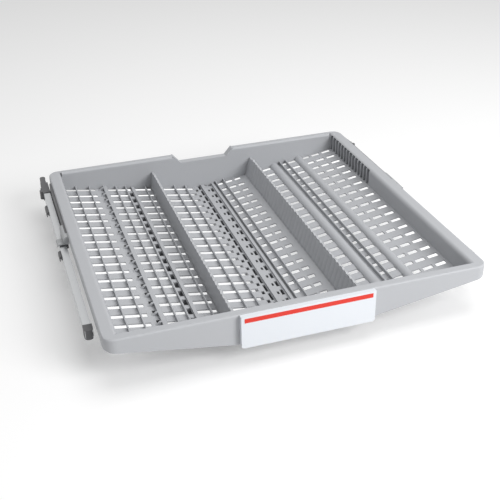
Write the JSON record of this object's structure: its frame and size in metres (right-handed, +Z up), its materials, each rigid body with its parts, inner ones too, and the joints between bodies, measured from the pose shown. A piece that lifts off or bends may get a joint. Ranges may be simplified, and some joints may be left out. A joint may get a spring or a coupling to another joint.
{
  "type": "dishwasher cutlery drawer",
  "caption": "Shallow moulded cutlery drawer with a V-shaped slotted floor, two toothed dividers, a front handle plate with a coloured strip, and a lipped slide rail on each side.",
  "frame": {"origin": "under the middle of the whole drawer, at the level of the keel that it stands on", "axes": "+X across the drawer to the right as seen from the front, +Y from the front to the back, +Z up"},
  "size_m": [0.5588, 0.5314, 0.0722],
  "materials": {
    "tray_plastic": "fine satin",
    "handle_plastic": "satin",
    "strip_plastic": "gloss",
    "rail_steel": "brushed along the rail",
    "pin_steel": "turned",
    "roller_plastic": "satin",
    "glide_plastic": "satin",
    "dark_plastic": "satin"
  },
  "bodies": {
    "tray": {"tray": "tray_plastic", "handle": "handle_plastic", "accent_strip": "strip_plastic", "runner_left": "dark_plastic", "runner_right": "dark_plastic", "glide_left": "glide_plastic", "glide_right": "glide_plastic", "pin_left_front": "pin_steel", "pin_left_rear": "pin_steel", "pin_right_front": "pin_steel", "pin_right_rear": "pin_steel"},
    "rail_left": {"rail_left": "rail_steel", "end_cap_left": "dark_plastic", "rear_stop_left": "dark_plastic", "hanger_left_front": "dark_plastic", "hanger_left_rear": "dark_plastic"},
    "rail_right": {"rail_right": "rail_steel", "end_cap_right": "dark_plastic", "rear_stop_right": "dark_plastic", "hanger_right_front": "dark_plastic", "hanger_right_rear": "dark_plastic"},
    "roller_left_front": {"roller_left_front": "roller_plastic"},
    "roller_left_rear": {"roller_left_rear": "roller_plastic"},
    "roller_right_front": {"roller_right_front": "roller_plastic"},
    "roller_right_rear": {"roller_right_rear": "roller_plastic"}
  },
  "joints": [
    {"name": "rail_left_slide", "type": "slide", "parent": "tray", "child": "rail_left", "axis": [0, 1, 0], "range_m": [0, 0.227]},
    {"name": "rail_right_slide", "type": "slide", "parent": "tray", "child": "rail_right", "axis": [0, 1, 0], "range_m": [0, 0.227]},
    {"name": "roller_left_front_spin", "type": "hinge", "parent": "tray", "child": "roller_left_front", "pos_m": [-0.2691, 0.04165, 0.04921], "axis": [1, 0, 0], "continuous": true},
    {"name": "roller_left_rear_spin", "type": "hinge", "parent": "tray", "child": "roller_left_rear", "pos_m": [-0.2691, 0.19765, 0.04921], "axis": [1, 0, 0], "continuous": true},
    {"name": "roller_right_front_spin", "type": "hinge", "parent": "tray", "child": "roller_right_front", "pos_m": [0.2691, 0.04165, 0.04921], "axis": [1, 0, 0], "continuous": true},
    {"name": "roller_right_rear_spin", "type": "hinge", "parent": "tray", "child": "roller_right_rear", "pos_m": [0.2691, 0.19765, 0.04921], "axis": [1, 0, 0], "continuous": true}
  ],
  "couplings": [
    {"joint": "rail_right_slide", "follows": "rail_left_slide", "ratio": 1},
    {"joint": "roller_left_front_spin", "follows": "rail_left_slide", "rad_per_m": 222.22},
    {"joint": "roller_left_rear_spin", "follows": "rail_left_slide", "rad_per_m": 222.22},
    {"joint": "roller_right_front_spin", "follows": "rail_left_slide", "rad_per_m": 222.22},
    {"joint": "roller_right_rear_spin", "follows": "rail_left_slide", "rad_per_m": 222.22}
  ]
}
